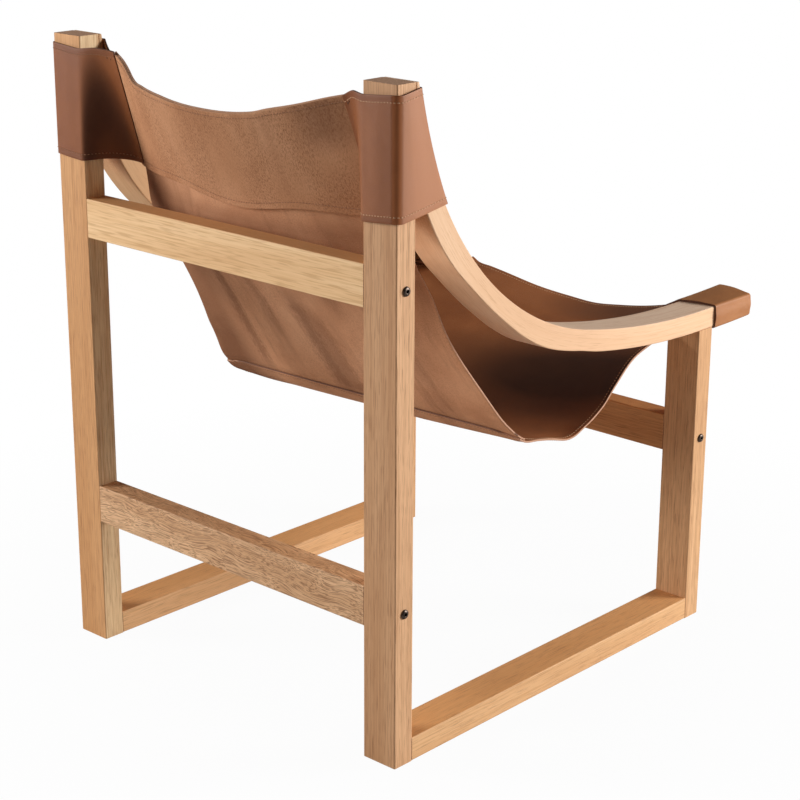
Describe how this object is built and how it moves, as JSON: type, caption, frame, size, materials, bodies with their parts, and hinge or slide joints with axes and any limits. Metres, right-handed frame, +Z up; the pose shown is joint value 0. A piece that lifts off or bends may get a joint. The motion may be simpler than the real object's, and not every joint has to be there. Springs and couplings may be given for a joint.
{
  "type": "lounge chair",
  "caption": "Low lounge chair: timber side frames with swept arms, bolted cross rails, and a hanging leather sling sewn round the back posts and pocketed over the arm ends.",
  "frame": {"origin": "on the floor, in the middle of the chair's width and depth", "axes": "+Z up, the sitter faces -Y, +X to the sitter's left"},
  "size_m": [0.5822, 0.7222, 0.8],
  "materials": {
    "post_timber": "oiled open-pored hardwood",
    "arm_timber": "oiled fine-grained hardwood",
    "beech": "raw beech",
    "bolt_metal": "dark satin steel",
    "insert_brass": "turned brass",
    "leather_grain": "tan grain side, softly worn",
    "leather_flesh": "brown flesh side, napped"
  },
  "bodies": {
    "root": {"back_post_left": "post_timber", "front_post_left": "post_timber", "bottom_rail_left": "post_timber", "arm_left": "arm_timber", "back_post_right": "post_timber", "front_post_right": "post_timber", "bottom_rail_right": "post_timber", "arm_right": "arm_timber", "upper_back_rail": "post_timber", "lower_back_rail": "post_timber", "front_rail": "post_timber", "bolt_upper_back_rail_left": "bolt_metal", "insert_upper_back_rail_left": "insert_brass", "dowel_upper_back_rail_left_top": "beech", "dowel_upper_back_rail_left_low": "beech", "bolt_upper_back_rail_right": "bolt_metal", "insert_upper_back_rail_right": "insert_brass", "dowel_upper_back_rail_right_top": "beech", "dowel_upper_back_rail_right_low": "beech", "bolt_lower_back_rail_left": "bolt_metal", "insert_lower_back_rail_left": "insert_brass", "dowel_lower_back_rail_left_top": "beech", "dowel_lower_back_rail_left_low": "beech", "bolt_lower_back_rail_right": "bolt_metal", "insert_lower_back_rail_right": "insert_brass", "dowel_lower_back_rail_right_top": "beech", "dowel_lower_back_rail_right_low": "beech", "bolt_front_rail_left": "bolt_metal", "insert_front_rail_left": "insert_brass", "dowel_front_rail_left_top": "beech", "dowel_front_rail_left_low": "beech", "bolt_front_rail_right": "bolt_metal", "insert_front_rail_right": "insert_brass", "dowel_front_rail_right_top": "beech", "dowel_front_rail_right_low": "beech", "tenon_back_foot_left": "beech", "tenon_back_foot_right": "beech", "tenon_front_foot_left": "beech", "tenon_front_foot_right": "beech", "tenon_arm_front_left": "beech", "tenon_arm_front_right": "beech", "tenon_arm_back_left": "beech", "tenon_arm_back_right": "beech", "sling_back_panel": "leather_grain", "sling_seat_panel": "leather_grain", "sling_back_lining": "leather_flesh", "sling_sleeve_left": "leather_grain", "sling_pocket_left": "leather_grain", "sling_sleeve_right": "leather_grain", "sling_pocket_right": "leather_grain"}
  },
  "joints": []
}
